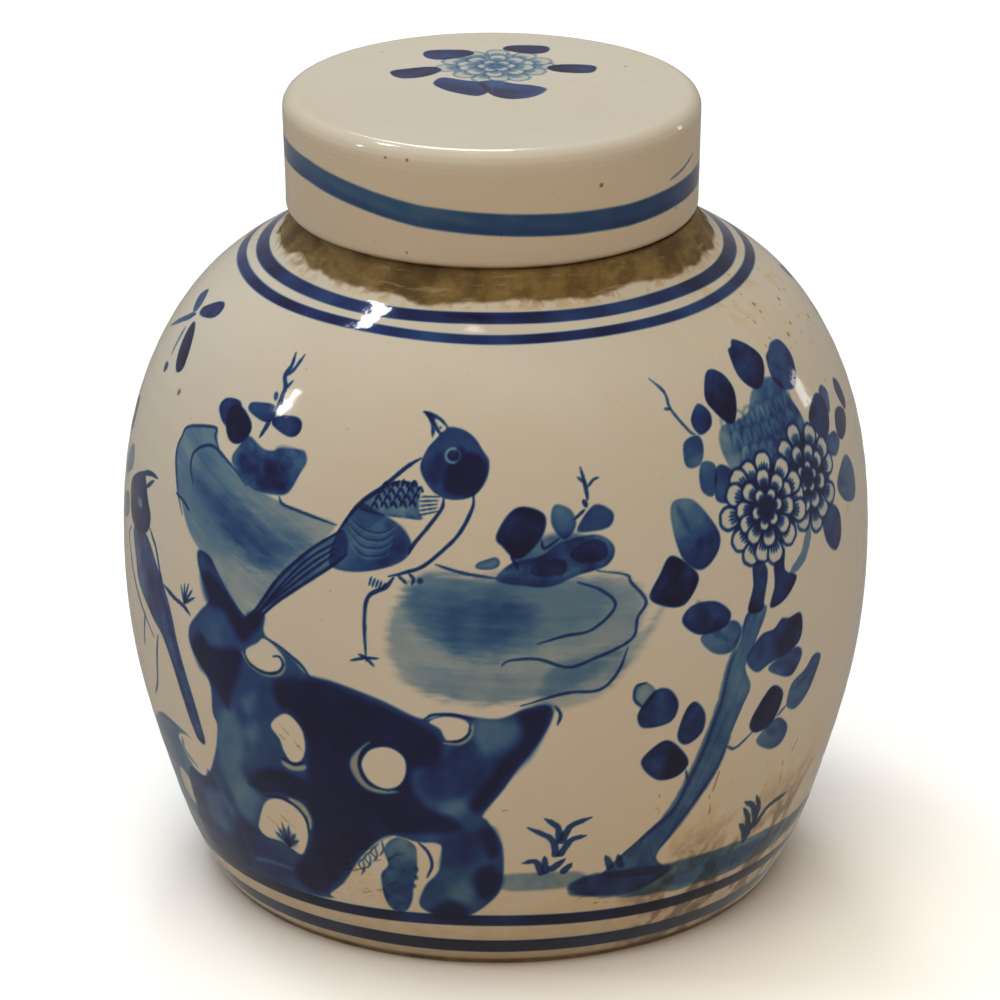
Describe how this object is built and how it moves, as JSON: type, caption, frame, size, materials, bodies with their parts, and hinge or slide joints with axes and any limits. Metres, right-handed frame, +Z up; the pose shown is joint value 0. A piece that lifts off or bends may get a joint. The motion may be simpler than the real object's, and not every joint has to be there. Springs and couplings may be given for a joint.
{
  "type": "ginger jar",
  "caption": "Egg-shaped glazed porcelain jar with a flat cap lid that lifts off a short upright neck, painted in blue.",
  "frame": {"origin": "centre of the foot ring, on the surface that the jar stands on", "axes": "+Z up along the axis that the jar was thrown round; -Y towards the painted front"},
  "size_m": [0.2042, 0.2042, 0.2204],
  "materials": {
    "jar_glaze": "gloss, with cobalt painting; bare clay on the neck, lid seat and foot ring",
    "lid_glaze": "gloss, with cobalt painting; bare clay on the skirt's lower edge and inside"
  },
  "bodies": {
    "jar": {"jar_body": "jar_glaze"},
    "lid": {"lid": "lid_glaze"}
  },
  "joints": [
    {"name": "lid_lift", "type": "slide", "parent": "jar", "child": "lid", "axis": [0, 0, 1], "range_m": [0, 0.06]}
  ]
}
